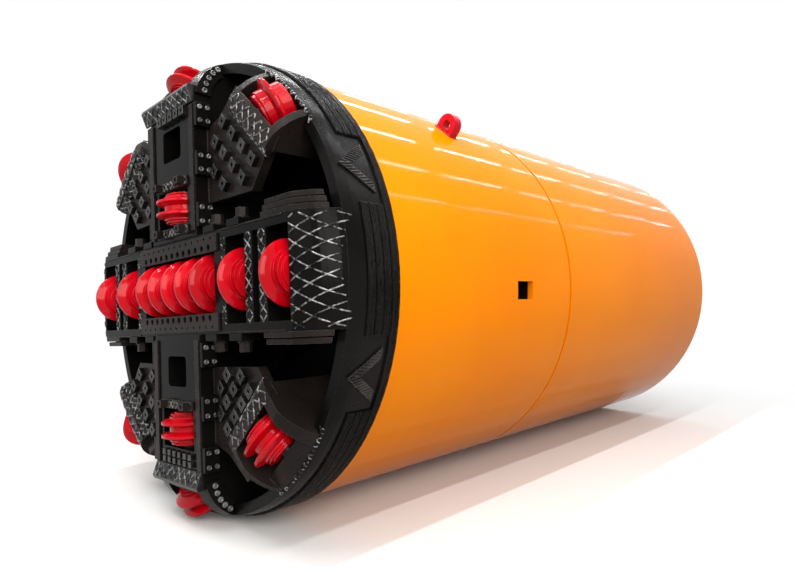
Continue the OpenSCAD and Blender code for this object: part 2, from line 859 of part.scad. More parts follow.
// closed pocket behind each side port, with a stop pin
module side_pockets() {
    wall = 22;
    deep = 150;
    color(black) for (s = [0, 1]) mirror([s, 0, 0]) intersection() {
        along(front_y, front_back_y, seat_r);
        difference() {
            translate([skin_in - deep / 2, port_y, port_z])
                cube([deep, port_length + 2 * wall, port_height + 2 * wall], center = true);
            translate([skin_in - deep / 2 + wall, port_y, port_z])
                cube([deep, port_length, port_height], center = true);
        }
    }
}

// both slurry pipes, low on each side
module at_pipes() {
    for (a = [-pipe_angle, pipe_angle]) rotate([0, a, 0]) translate([0, 0, -pipe_ring]) children();
}

module bulkhead() {
    color(grey) difference() {
        along(bulk_y, bulk_back_y, seat_r);
        along(bulk_y - 1, bulk_back_y + 1, shaft_radius + run_gap);
        at_pipes() along(bulk_y - 1, bulk_back_y + 1, pipe_bore);
    }
}

module crusher_cone() {
    cone_wall = 30;
    cone_rim = 40;
    cone_run = 200;
    cone_setback = 120;
    mouth_r = seat_r - cone_run;
    y0 = front_y + cone_setback;
    deep = bulk_y - y0 - seat_gap;
    color(black) translate([0, y0, 0]) rotate([-90, 0, 0]) rotate_extrude() polygon([
        [seat_r, 0], [seat_r, cone_rim], [mouth_r, deep], [mouth_r - cone_wall, deep],
        [seat_r - cone_wall, 0]]);
}

module main_drive() {
    flange = 70;
    flange_out = 90;
    shaft_room = 8;
    color(grey) difference() {
        union() {
            along(bulk_back_y, drive_back_y, drive_radius);
            along(bulk_back_y, bulk_back_y + flange, drive_radius + flange_out);
        }
        along(bulk_back_y - 1, bulk_back_y + shaft_tail + shaft_room, shaft_radius + run_gap);
    }
}

module drive_motors() {
    ring = drive_radius * 2 / 3;
    collar = 40;
    color(grey) for (i = [0:motor_count - 1]) rotate([0, i * 360 / motor_count, 0]) translate([0, 0, ring]) {
        along(drive_back_y, drive_back_y + collar, motor_radius + collar / 2);
        along(drive_back_y + collar, drive_back_y + motor_length, motor_radius);
    }
}

module slurry_pipes() {
    start_y = bulk_back_y + seat_gap;
    end_y = bulk_back_y + pipe_length;
    flange = pipe_radius + 52;
    flange_wall = 28;
    bolt_ring = pipe_radius + 28;
    color(grey) at_pipes() difference() {
        union() {
            along(start_y, end_y, pipe_radius);
            along(end_y - flange_wall, end_y, flange);
            along(start_y, start_y + flange_wall, flange);
        }
        along(start_y - 1, end_y + 1, pipe_bore);
        for (i = [0:7]) rotate([0, 22.5 + i * 45, 0]) translate([bolt_ring, 0, 0])
            along(end_y - flange_wall - 1, end_y + 1, 11, $fn = 24);
    }
}

// steering cylinders across the seam

module steering_rods() {
    foot0 = seam_y - 420;
    color(steel) for (a = [45, 135, 225, 315]) rotate([0, a, 0]) {
        translate([steer_radius, 0, 0]) along(foot0, seam_y + 210, steer_rod);
        intersection() {
            along(foot0, foot0 + 80, seat_r);
            block(steer_radius - 70, shield_r, foot0, foot0 + 80, -80, 80);
        }
    }
}

module steering_barrels() {
    foot = 90;
    foot_gap = 30;
    lip = 40;
    lip_gap = 14;
    color(grey) for (a = [45, 135, 225, 315]) rotate([0, a, 0]) difference() {
        union() {
            translate([steer_radius, 0, 0]) along(barrel_y0, barrel_y1, steer_barrel);
            intersection() {
                along(barrel_y1 - foot - foot_gap, barrel_y1 - foot_gap, seat_r);
                block(steer_radius, shield_r, barrel_y1 - foot - foot_gap, barrel_y1 - foot_gap,
                    -steer_barrel - 10, steer_barrel + 10);
            }
        }
        translate([steer_radius, 0, 0]) along(barrel_y0 - 1, barrel_y0 + lip + 1, steer_rod + lip_gap);
        translate([steer_radius, 0, 0]) along(barrel_y0 + lip, barrel_y0 + barrel_length * 2 / 3,
            steer_barrel - lip_gap);
    }
}

// articulation ring

// points of a spherical band between two distances from the seam
function band(r, y0, y1, steps) = [for (i = [0:steps]) let (y = y0 + (y1 - y0) * i / steps)
    [sqrt(r * r - y * y), y]];

module turned_at_seam(outline) {
    translate([0, seam_y, 0]) rotate([-90, 0, 0]) rotate_extrude($fn = 180) polygon(outline);
}

module seal_ring() {
    w = ring_half_width;
    color(grey) turned_at_seam(concat(band(ring_out, -w, w, 10), band(ring_in, w, -w, 10)));
}

module rear_spigot() {
    reach = ring_half_width + ring_play;
    color(grey) turned_at_seam(concat([[spigot_in, -reach]], band(spigot_out, -reach, reach, 12),
        [[seat_r, reach], [seat_r, reach + 80], [spigot_in, reach + 80]]));
}

// rear shield

module rear_skin() {
    color(yellow) difference() {
        along(rear_front_y, 0, shield_r);
        along(rear_front_y - 1, -socket_depth + 1, skin_in);
        along(-socket_depth, 1, shield_r - collar_wall);
    }
}

module jacking_ring() {
    color(grey) tube_along(-socket_depth - jacking_thickness, -socket_depth, seat_r, skin_in - jacking_face);
}

module rear_lug() {
    lug(90, -rear_lug_from_tail);
}

module walkway() {
    top = walkway_rise - seat_r;
    plate = 30;
    beam = 110;
    beam_half = 30;
    front = barrel_y1 + walkway_gap;
    color(grey) intersection() {
        along(front, -walkway_from_tail, seat_r);
        union() {
            block(-walkway_width / 2, walkway_width / 2, front, -walkway_from_tail, top - plate, top);
            for (part = [0.06, 0.5, 0.94]) let (y = front - part * (front + walkway_from_tail))
                block(-shield_r, shield_r, y - beam_half, y + beam_half, top - plate - beam, top - plate);
        }
    }
}

module cabinets() {
    front = -cabinet_from_tail - cabinet_length;
    color(grey) for (s = [0, 1]) mirror([s, 0, 0]) intersection() {
        block(shield_r - cabinet_depth, shield_r, front, -cabinet_from_tail, -cabinet_height / 2,
            cabinet_height / 2);
        along(front, -cabinet_from_tail, seat_r);
    }
}

rear_skin();
jacking_ring();
rear_spigot();
steering_barrels();
rear_lug();
walkway();
cabinets();
seal_ring();
front_skin();
front_lugs();
bulkhead();
crusher_cone();
main_drive();
drive_motors();
slurry_pipes();
steering_rods();
side_pockets();
head_hub();
head_rim();
rim_bars();
centre_box();
centre_plates();
arm_right();
arm_left();
arm_top();
arm_bottom();
corner_ur();
corner_ul();
corner_ll();
corner_lr();
wear_studs();
hard_bars();
side_blocks();
edge_ribs();
edge_bolts();
cheek_plates();
face_strips();
arm_beams();
arm_teeth();
rim_chevrons();
centre_axle();
spoke_axles();
gauge_axles();
disc_c1();
disc_c2();
disc_c3();
disc_c4();
disc_c5();
disc_r1();
disc_r2();
disc_l1();
disc_l2();
twin_top();
twin_bottom();
gauge_top();
gauge_bottom();
gauge_ur();
gauge_ul();
gauge_ll();
gauge_lr();
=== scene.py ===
# %% [markdown]
# # Dressing a tunnel boring machine
# The machine bores ahead of a row of jacked pipes: a turning head with disc cutters, on a shield in two
# sections that bend a little at the seam. The imported CAD model is the frame, and its bodies, joints and
# solids stay as they are. This script adds what CAD leaves out, which is screws, weld beads, hard-facing
# and paint, and then sets up the lamps and the camera for a picture of the machine.
#
# The first cell loads the frame and keeps its box, whose low side gives the floor.

# %% Load the imported frame
import json
import math

import bmesh
import bpy
from mathutils import Matrix, Vector
from mathutils.bvhtree import BVHTree


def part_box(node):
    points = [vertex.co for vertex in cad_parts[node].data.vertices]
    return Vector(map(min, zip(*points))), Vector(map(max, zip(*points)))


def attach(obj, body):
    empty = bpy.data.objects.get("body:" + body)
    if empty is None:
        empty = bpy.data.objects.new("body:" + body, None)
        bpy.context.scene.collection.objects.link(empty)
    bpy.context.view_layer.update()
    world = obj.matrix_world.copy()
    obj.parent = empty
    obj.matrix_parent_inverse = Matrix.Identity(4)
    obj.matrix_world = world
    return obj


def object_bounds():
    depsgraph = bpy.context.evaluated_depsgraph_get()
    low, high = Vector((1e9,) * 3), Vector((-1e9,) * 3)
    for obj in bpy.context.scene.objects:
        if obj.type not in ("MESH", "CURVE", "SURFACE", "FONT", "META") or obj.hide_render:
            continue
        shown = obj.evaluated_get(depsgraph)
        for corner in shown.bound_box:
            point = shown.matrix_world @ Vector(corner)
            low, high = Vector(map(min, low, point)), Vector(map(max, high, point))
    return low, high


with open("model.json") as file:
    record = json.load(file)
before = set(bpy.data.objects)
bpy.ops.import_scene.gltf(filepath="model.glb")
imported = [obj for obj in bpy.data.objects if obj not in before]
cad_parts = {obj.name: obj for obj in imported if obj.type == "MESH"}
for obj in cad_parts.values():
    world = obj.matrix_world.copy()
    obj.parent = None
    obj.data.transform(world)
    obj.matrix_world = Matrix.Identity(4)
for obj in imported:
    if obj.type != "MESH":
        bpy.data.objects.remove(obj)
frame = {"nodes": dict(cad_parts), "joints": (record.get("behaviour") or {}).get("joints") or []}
cad_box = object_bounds()
nodes = frame["nodes"]

# %% [markdown]
# ## The head's own axes
# The head has stopped a few degrees from upright, so its details are easier to place in its own axes: x
# along the level spoke, u up the upright one, and a ahead of the shield's front edge. The angle could be
# typed in, but the axle of a centre cutter gives it, so it follows the CAD model. The sizes of the face
# repeat those of the CAD source, in metres.

# %% Head axes and sizes
axles = {joint["name"]: Vector(joint["axis"]) for joint in frame["joints"]}
SIDE = axles["disc_c1_spin"].normalized()
AHEAD = Vector((0, -1, 0))
UP = AHEAD.cross(SIDE)
TO_FRAME = Matrix((SIDE, UP, AHEAD)).transposed().to_4x4()
TO_FRAME.translation = (0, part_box("front_skin")[0].y, 0)
TO_HEAD = TO_FRAME.inverted()

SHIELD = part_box("front_skin")[1].x
RIM = SHIELD + 0.004
FACE, CROSS, PLATE = 0.550, 0.535, 0.460  # upright arms, level spoke and stud plates, ahead of the edge
SHOULDER = 0.300  # radius of the rounded shoulder between face and rim
SPOKE = 0.300  # half the width of a spoke
CORNER = math.radians(46)  # direction of the middle of a corner between the spokes


def head(x, u, a):
    """The place in the shared frame of a point in the head's axes."""
    return TO_FRAME @ Vector((x, u, a))


def outline(x, u):
    """How far ahead the turned outline of the head is at that place."""
    over = max(math.hypot(x, u) - (RIM - SHOULDER), 0.0)
    return FACE - SHOULDER + math.sqrt(max(SHOULDER ** 2 - over ** 2, 0.0))


def corner(p, q, a, sx, su):
    """A point in a corner between the spokes: p outwards along its middle, q across it."""
    x = p * math.cos(CORNER) - q * math.sin(CORNER)
    u = p * math.sin(CORNER) + q * math.cos(CORNER)
    return head(sx * x, su * u, a)


print("head turned", round(math.degrees(math.atan2(SIDE.z, SIDE.x)), 2), "degrees")

# %% [markdown]
# ## A wire that can be used in sums
# Shaders and geometry trees are graphs of nodes. They could be written as lists of nodes and links, but a
# sum is easier to read. So one class wraps a socket: it takes part in arithmetic like a number, and its
# node method adds any other node with its settings and inputs.


# %% The wire class
class Wire:
    """An output socket of a node tree."""

    def __init__(self, tree, socket=None):
        self.tree, self.socket = tree, socket

    def node(self, kind, settings=None, inputs=None):
        """Adds a node, and returns its first output. An input is a wire or a plain value."""
        made = self.tree.nodes.new(kind)
        for name, value in (settings or {}).items():
            setattr(made, name, value)
        for key, value in (inputs or {}).items():
            if isinstance(value, Wire):
                self.tree.links.new(value.socket, made.inputs[key])
            else:
                made.inputs[key].default_value = value
        return Wire(self.tree, made.outputs[0] if made.outputs else None)

    def __getitem__(self, key):
        """Another output of the same node."""
        return Wire(self.tree, self.socket.node.outputs[key])

    def math(self, operation, a, b):
        return self.node("ShaderNodeMath", {"operation": operation}, {0: a, 1: b})

    def __add__(self, other):
        return self.math("ADD", self, other)

    def __sub__(self, other):
        return self.math("SUBTRACT", self, other)

    def __rsub__(self, other):
        return self.math("SUBTRACT", other, self)

    def __mul__(self, other):
        return self.math("MULTIPLY", self, other)

    def __truediv__(self, other):
        return self.math("DIVIDE", self, other)

    __radd__, __rmul__ = __add__, __mul__

    def ramp(self, low, high):
        """0 below low, 1 above high, smooth between them."""
        return self.node("ShaderNodeMapRange", {"interpolation_type": "SMOOTHSTEP"},
                         {"Value": self, "From Min": low, "From Max": high})

    def noise(self, scale, detail):
        """Noise over a position."""
        return self.node("ShaderNodeTexNoise", None, {"Vector": self, "Scale": scale, "Detail": detail})

    def blend(self, a, b):
        """Colour a where this wire is 0, colour b where it is 1."""
        return self.node("ShaderNodeMix", {"data_type": "RGBA"}, {0: self, 6: a, 7: b})[2]


print("wire class ready")

# %% [markdown]
# ## Paint and steel
# The shield and the cutters are painted; the rest is black paint and steel. Pictures wrapped on the
# surface would need unwrapped meshes, so each finish is worked out from the object coordinates instead,
# and its marks stay on the surface in every view. Clouds of noise change the colour a little, finer noise
# changes the roughness, and the finest gives the bump.


# %% Colours, and the start of a material
def rgb(r, g, b):
    """A colour as it is seen on a screen, from 0 to 255, turned into linear light."""
    def linear(v):
        v /= 255
        return v / 12.92 if v <= 0.04045 else ((v + 0.055) / 1.055) ** 2.4
    return (linear(r), linear(g), linear(b), 1.0)


def grey_of(value, warm=1.0):
    """A near-neutral linear colour, a little warmer for more than 1."""
    return (value * warm, value, value / warm ** 0.3, 1.0)


def start(name):
    """A new material: the material, its shader and a wire with the object coordinates."""
    made = bpy.data.materials.new(name)
    made.use_nodes = True
    tree = made.node_tree
    return made, tree.nodes["Principled BSDF"], Wire(tree).node("ShaderNodeTexCoord")["Object"]


def feed(shader, **wires):
    """Links wires to sockets of the shader. Base_Color stands for Base Color."""
    for name, wire in wires.items():
        wire.tree.links.new(wire.socket, shader.inputs[name.replace("_", " ")])


print("a middle grey is", [round(v, 3) for v in rgb(128, 128, 128)])

# %% [markdown]
# Real edges are rounded and lose their paint first. Rounding them in the mesh would need many more faces,
# so a Bevel node softens the normal instead. The edge mask compares the true normal with the softened one:
# they differ only near an edge. The lighter colour it gives the edges is partly such wear and partly a
# painted highlight along the edges.


# %% Soft and worn edges
def softened(place, radius):
    """The normal as it would be with rounded edges."""
    return place.node("ShaderNodeBevel", {"samples": 4}, {"Radius": radius})


def edges(soft):
    """How near a sharp edge is, from 0 to about 1."""
    true = soft.node("ShaderNodeNewGeometry")["Normal"]
    alike = soft.node("ShaderNodeVectorMath", {"operation": "DOT_PRODUCT"}, {0: soft, 1: true})["Value"]
    return 1.0 - alike


def bump(height, strength, distance, soft):
    """A bump over the softened normal, so that edges catch the light."""
    return height.node("ShaderNodeBump", None,
                       {"Height": height, "Strength": strength, "Distance": distance, "Normal": soft})


def coated(name, base, shade, bare_and_glint, rough, gloss, wear_and_glint, grain=0.2, scale=140.0, painted_shade_from=None):
    """Paint over steel, lighter on its edges, partly where the paint is off and partly as a painted
    highlight. Ahead of the given place along the axis it is black, as painted shade.
    """
    made, shader, place = start(name)
    # Ahead of this place along the axis the colour turns black: painted shade.
    if painted_shade_from is not None:
        along = place.node("ShaderNodeSeparateXYZ", None, {0: place})["Y"]
        base, shade = [along.ramp(painted_shade_from, painted_shade_from + 0.002).blend(grey_of(0.002), colour)
                       for colour in (base, shade)]
    soft = softened(place, 0.006)
    cloud, fine, speck = place.noise(2.3, 5.0), place.noise(38.0, 6.0), place.noise(scale, 2.0)
    # Lighter edges: partly paint worn through, partly a painted highlight along the edges.
    edge_wear_and_glint = (edges(soft) * (fine + 0.45)).ramp(0.16 / wear_and_glint, 0.42 / wear_and_glint)
    feed(shader,
         Base_Color=edge_wear_and_glint.blend(cloud.ramp(0.35, 0.68).blend(base, shade), bare_and_glint),
         Roughness=rough[0] + fine * (rough[1] - rough[0]) + edge_wear_and_glint * 0.12,
         Metallic=edge_wear_and_glint * 0.6,
         Normal=bump(speck * 0.35 + fine * 0.65, grain, 0.002, soft))
    shader.inputs["Specular IOR Level"].default_value = gloss
    return made


def metal(name, base, shade, bright, rough, grain, scale=220.0, patch=9.0):
    """Bare or blackened steel with stains and fine scratches, lighter on its edges, partly as polish and
    partly as a painted highlight.
    """
    made, shader, place = start(name)
    soft = softened(place, 0.005)
    stretched = place.node("ShaderNodeMapping", None, {"Vector": place, "Scale": (1.0, 7.0, 1.0)})
    stain_and_glint, scratch = place.noise(patch, 6.0), stretched.noise(scale, 3.0)
    # Lighter edges: partly polish, partly a painted highlight.
    rubbed_and_glint = (edges(soft) * (stain_and_glint + 0.4)).ramp(0.14, 0.5)
    feed(shader,
         Base_Color=rubbed_and_glint.blend(stain_and_glint.ramp(0.4, 0.66).blend(base, shade), bright),
         Roughness=rough[0] + stain_and_glint * (rough[1] - rough[0]) + scratch * 0.08,
         Normal=bump(scratch * 0.6 + stain_and_glint * 0.4, grain, 0.0015, soft))
    shader.inputs["Metallic"].default_value = 0.85
    return made


print("material builders ready")

# %% [markdown]
# The shield is thick gloss paint over rolled plate. One even gloss would look like plastic, because real
# plate is never quite round: long waves bend the reflections of the lamps, and a fine orange peel breaks
# up their edges. Both are noise in the bump. The specular level is low, so that the pale floor does not
# wash out the colour where the skin is seen at a flat angle.


# %% Yellow of the shield
def shield_paint():
    made, shader, place = start("shield_yellow")
    wave, ripple, peel = place.noise(1.1, 2.0), place.noise(5.5, 2.0), place.noise(330.0, 1.0)
    cloud, dust = place.noise(0.7, 3.0), place.noise(24.0, 6.0)
    feed(shader,
         Base_Color=cloud.ramp(0.3, 0.7).blend(rgb(249, 141, 0), rgb(244, 132, 0)),
         Roughness=0.05 + dust * 0.05,
         Normal=bump(wave + ripple * 0.09 + peel * 0.003, 0.2, 0.02, softened(place, 0.004)))
    shader.inputs["Specular IOR Level"].default_value = 0.03
    return made


yellow = shield_paint()
print("paint of the shield:", yellow.name)

# %% [markdown]
# The head is black in three degrees: deep on its boxes and arms, warmer and duller on the plates that
# rock rubs, and between them on the rim. The cutters and the lugs are red, and the room behind the
# bulkhead is grey; the front face of the bulkhead, seen through the head, is black as painted shade. They
# differ only in colour, gloss and how light their edges are, so one builder makes them all.

# %% Painted finishes
black = coated("head_black", grey_of(0.003, 1.08), grey_of(0.006, 1.1), grey_of(0.16), (0.1, 0.3),
               gloss=0.045, wear_and_glint=0.55, grain=0.4)
ledge = coated("stud_plate_black", grey_of(0.008, 1.3), grey_of(0.018, 1.3), grey_of(0.2, 1.06),
               (0.16, 0.42), gloss=0.06, wear_and_glint=0.6, grain=0.45)
rim_black = coated("rim_black", grey_of(0.003, 1.06), grey_of(0.007, 1.12), grey_of(0.14), (0.14, 0.36),
                   gloss=0.05, wear_and_glint=0.5, grain=0.3)
red = coated("cutter_red", rgb(206, 8, 28), rgb(172, 4, 18), rgb(230, 70, 74), (0.05, 0.13),
             gloss=0.14, wear_and_glint=0.3, grain=0.1, scale=90.0)
lug_red = coated("lug_red", rgb(184, 12, 32), rgb(164, 8, 26), rgb(150, 140, 138), (0.2, 0.36),
                 gloss=0.12, wear_and_glint=0.4)
ROOM, ROOM_SHADE = rgb(150, 153, 156), rgb(128, 131, 134)
grey = coated("inner_grey", ROOM, ROOM_SHADE, rgb(176, 172, 166), (0.35, 0.55), gloss=0.4, wear_and_glint=0.45)
drive = coated("drive_blue_grey", rgb(96, 110, 122), rgb(80, 93, 105), rgb(170, 168, 164), (0.35, 0.55),
               gloss=0.4, wear_and_glint=0.5)
# The front face of the bulkhead, seen through the openings of the head, is black as painted shade.
wall = coated("bulkhead_grey_and_painted_shade", ROOM, ROOM_SHADE, grey_of(0.1), (0.35, 0.55), gloss=0.1, wear_and_glint=0.45,
              painted_shade_from=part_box("bulkhead")[0].y + 0.004)
print(len(bpy.data.materials), "materials with the paints")

# %% [markdown]
# Hard-facing is bright in small, strong patches and dark between: partly bare steel where rock has rubbed
# it, and partly painted highlight in place of the glints on its beads. The other steels go from polished
# rods to blackened studs. Metals get their look from what they mirror, so they need little more than a
# colour, a roughness and scratches.

# %% Steels
# Bright patches and edges of the hard-facing: partly bare steel, partly painted highlight.
hardface = metal("hard_facing", grey_of(0.006), grey_of(0.28), grey_of(0.4), (0.16, 0.36), grain=0.6,
                 scale=160.0, patch=34.0)
screw_steel = metal("screw_steel", grey_of(0.10), grey_of(0.24), grey_of(0.5), (0.2, 0.4), grain=0.3)
steel = metal("bright_steel", rgb(196, 197, 202), rgb(150, 148, 148), grey_of(0.75), (0.18, 0.34),
              grain=0.15)
dark_steel = metal("blackened_steel", grey_of(0.012, 1.05), grey_of(0.04, 1.08), grey_of(0.3), (0.26, 0.46),
                   grain=0.35)
bolt_steel = metal("bolt_brown_steel", grey_of(0.06, 1.12), grey_of(0.11, 1.15), grey_of(0.3, 1.05),
                   (0.26, 0.44), grain=0.3)
seal = metal("seal_ring_steel", rgb(120, 116, 112), rgb(88, 84, 80), rgb(170, 168, 164), (0.3, 0.5),
             grain=0.25)
print(len(bpy.data.materials), "materials with the steels")

# %% [markdown]
# Every CAD node takes one of these. A line for each node would repeat itself, so the nodes are found by
# the start of their names, and a later line of the table goes before an earlier one.

# %% Materials on the CAD nodes
finishes = [
    (("rear_skin", "front_skin"), yellow),
    (("disc_", "twin_", "gauge_"), red),
    (("rear_lug", "front_lugs"), lug_red),
    (("head_", "centre_box", "arm_", "side_blocks", "cheek_plates", "crusher_cone", "side_pockets"), black),
    (("corner_", "centre_plates", "face_strips", "edge_ribs", "edge_bolts"), ledge),
    (("head_rim", "rim_bars"), rim_black),
    (("wear_studs", "hard_bars", "arm_beams", "arm_teeth", "rim_chevrons"), dark_steel),
    (("gauge_axles", "centre_axle", "spoke_axles"), dark_steel),
    (("steering_rods",), steel),
    (("seal_ring",), seal),
    (("bulkhead",), wall),
    (("main_drive", "drive_motors", "slurry_pipes"), drive),
]
for name, node in nodes.items():
    found = [finish for starts, finish in finishes if name.startswith(starts)]
    node.data.materials.clear()
    node.data.materials.append(found[-1] if found else grey)
print("finished nodes", len(nodes))

# %% [markdown]
# ## Bolts as points
# The plates are held by socket screws and hexagon bolts, some two hundred in all. Copies of one object
# would work, but a geometry tree over a list of points is shorter, and gives one mesh for a whole list.
# Each point has a facing and a size. All trees start and end the same way.


# %% Start and end of a geometry tree
def tree_with(name, inputs):
    """A geometry tree with named float inputs: the tree, the wire of its input node and its identifiers."""
    tree = bpy.data.node_groups.new(name, "GeometryNodeTree")
    tree.interface.new_socket("Geometry", in_out="INPUT", socket_type="NodeSocketGeometry")
    keys = {n: tree.interface.new_socket(n, in_out="INPUT", socket_type="NodeSocketFloat").identifier
            for n in inputs}
    material = tree.interface.new_socket("Material", in_out="INPUT", socket_type="NodeSocketMaterial")
    tree.interface.new_socket("Geometry", in_out="OUTPUT", socket_type="NodeSocketGeometry")
    keys["Material"] = material.identifier
    return tree, Wire(tree).node("NodeGroupInput"), keys


def close_tree(shape, given, smooth):
    """Realizes the instances, sets shading and material, and ends the tree."""
    shape = shape.node("GeometryNodeRealizeInstances", None, {"Geometry": shape})
    shape = shape.node("GeometryNodeSetShadeSmooth", None, {"Geometry": shape, "Shade Smooth": smooth})
    shape = shape.node("GeometryNodeSetMaterial", None, {"Geometry": shape, "Material": given["Material"]})
    shape.node("NodeGroupOutput", None, {0: shape})


def attribute(wire, name, kind):
    return wire.node("GeometryNodeInputNamedAttribute", {"data_type": kind}, {"Name": name})


print("tree helpers ready")

# %% [markdown]
# A screw head is a drum. Cutting its socket with a Boolean left loose edges, so the top face is pulled up
# into a chamfer, drawn in, and pulled down into the socket: the head stays one closed skin. Each head is
# turned by chance about its own axis, as screws are once they are tight.


# %% The bolt tree
def moved(mesh, height):
    """A mesh raised along z by a wire or number."""
    lift = mesh.node("ShaderNodeCombineXYZ", None, {"Z": height})
    return mesh.node("GeometryNodeTransform", None, {"Geometry": mesh, "Translation": lift})


def raised(mesh, face, height, scale):
    """Pulls a face out by a height and scales it: the mesh and the face."""
    pulled = mesh.node("GeometryNodeExtrudeMesh", {"mode": "FACES"},
                       {"Mesh": mesh, "Selection": face, "Offset Scale": height})
    face = pulled["Top"]
    sized = pulled.node("GeometryNodeScaleElements", {"domain": "FACE"},
                        {"Geometry": pulled, "Selection": face, "Scale": scale})
    return sized, face


def bolt_tree():
    tree, given, keys = tree_with("bolt heads", ("Sides", "Height", "Chamfer", "Socket"))
    sides, high, chamfer, socket = given["Sides"], given["Height"], given["Chamfer"], given["Socket"]
    drum = given.node("GeometryNodeMeshCylinder", None,
                      {"Vertices": sides, "Radius": 1.0, "Depth": high - chamfer})
    top = drum["Top"]
    screw, top = raised(moved(drum, (high - chamfer) * 0.5), top, chamfer, 1.0 - chamfer)
    screw, top = raised(screw, top, 0.0, socket / (1.0 - chamfer))
    screw, top = raised(screw, top, high * -0.6, 0.9)
    facing = given.node("FunctionNodeAlignRotationToVector", {"axis": "Z"},
                        {"Vector": attribute(given, "facing", "FLOAT_VECTOR")})
    chance = given.node("FunctionNodeRandomValue", {"data_type": "FLOAT"}, {2: 0.0, 3: 1.0, "Seed": 7})[1]
    spin = given.node("ShaderNodeCombineXYZ", None, {"Z": chance * math.pi})
    turned = given.node("FunctionNodeRotateRotation", {"rotation_space": "LOCAL"},
                        {"Rotation": facing, "Rotate By": spin})
    placed = given.node("GeometryNodeInstanceOnPoints", None,
                        {"Points": given, "Instance": screw, "Rotation": turned,
                         "Scale": attribute(given, "size", "FLOAT")})
    close_tree(placed, given, False)
    return tree, keys


BOLTS = bolt_tree()
print("bolt tree with", len(BOLTS[0].nodes), "nodes")

# %% [markdown]
# ## Beads as lines
# A weld bead is a line with a width, never quite straight. A bevelled curve would be too even, so the
# second tree samples the line, shakes it a little, swells it in ripples and sweeps a round along it.
# Hard-facing is the same bead laid in a crossed pattern, and ribs, handles and tread are beads without
# the shake.


# %% The bead tree
def bead_tree():
    tree, given, keys = tree_with("weld beads", ("Step", "Shake", "Ripple"))
    line = given.node("GeometryNodeMeshToCurve", None, {"Mesh": given})
    line = line.node("GeometryNodeResampleCurve", {"mode": "LENGTH"},
                     {"Curve": line, "Length": given["Step"]})
    drift = line.node("GeometryNodeInputPosition").noise(40.0, 2.0)["Color"]
    offset = drift.node("ShaderNodeVectorMath", {"operation": "SUBTRACT"}, {0: drift, 1: (0.5, 0.5, 0.5)})
    offset = offset.node("ShaderNodeVectorMath", {"operation": "SCALE"},
                         {0: offset, "Scale": given["Shake"]})
    line = line.node("GeometryNodeSetPosition", None, {"Geometry": line, "Offset": offset})
    along = line.node("GeometryNodeSplineParameter")["Length"]
    swell = along.node("ShaderNodeMath", {"operation": "SINE"}, {0: along * 260.0})
    ring = line.node("GeometryNodeCurvePrimitiveCircle", {"mode": "RADIUS"},
                     {"Resolution": 7, "Radius": 0.5})
    width = attribute(line, "width", "FLOAT") * (1.0 + swell * given["Ripple"])
    swept = line.node("GeometryNodeCurveToMesh", None,
                      {"Curve": line, "Profile Curve": ring, "Scale": width, "Fill Caps": True})
    close_tree(swept, given, True)
    return tree, keys


BEADS = bead_tree()
print("bead tree with", len(BEADS[0].nodes), "nodes")

# %% [markdown]
# A tree could stay on its object as a modifier, but a kept piece has to be a plain mesh. So the tree runs
# once, its result becomes the object's own mesh, and the piece then rides on the body that carries it.


# %% From a tree to a piece
def grown(name, tree_keys, points, lines, marks, values, material, body):
    """Runs a tree over points or lines, keeps the result as a plain mesh and lets it ride on a body."""
    tree, keys = tree_keys
    guide = bpy.data.meshes.new(name + "_guide")
    guide.from_pydata([tuple(p) for p in points], lines, [])
    for mark, (kind, numbers) in marks.items():
        layer = guide.attributes.new(mark, kind, "POINT")
        layer.data.foreach_set("vector" if kind == "FLOAT_VECTOR" else "value", numbers)
    piece = bpy.data.objects.new(name, guide)
    bpy.context.scene.collection.objects.link(piece)
    modifier = piece.modifiers.new("grow", "NODES")
    modifier.node_group = tree
    for key, value in {**values, "Material": material}.items():
        modifier[keys[key]] = value
    bpy.context.view_layer.update()
    made = bpy.data.meshes.new_from_object(piece.evaluated_get(bpy.context.evaluated_depsgraph_get()))
    piece.modifiers.clear()
    piece.data = made
    bpy.data.meshes.remove(guide)
    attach(piece, body)
    print(name, len(points), "guide points", len(made.polygons), "faces")


def bolts(name, places, material, body, sides, socket):
    """places: (point, facing, radius) for each bolt. Six sides give a hexagon head."""
    marks = {"facing": ("FLOAT_VECTOR", [v for _, facing, _ in places for v in facing]),
             "size": ("FLOAT", [size for _, _, size in places])}
    values = {"Sides": float(sides), "Height": 0.85, "Chamfer": 0.14, "Socket": socket}
    grown(name, BOLTS, [p for p, _, _ in places], [], marks, values, material, body)


def beads(name, strokes, material, body, step=0.011, shake=0.004, ripple=0.16):
    """strokes: (list of points, width) for each bead."""
    points, lines, widths = [], [], []
    for stroke, width in strokes:
        lines += [(len(points) + i, len(points) + i + 1) for i in range(len(stroke) - 1)]
        points += stroke
        widths += [width] * len(stroke)
    values = {"Step": step, "Shake": shake, "Ripple": ripple}
    grown(name, BEADS, points, lines, {"width": ("FLOAT", widths)}, values, material, body)


print("growers ready")

# %% [markdown]
# ## Screws on the head
# Blocks are screwed to the sides of the upright arms, and round cheek plates to their ends. The places of
# the screws could be copied from the CAD source, but the blocks are loose solids of one node: joining
# their vertices by place gives the box of each solid in the head's axes, so the screws follow the CAD
# model.


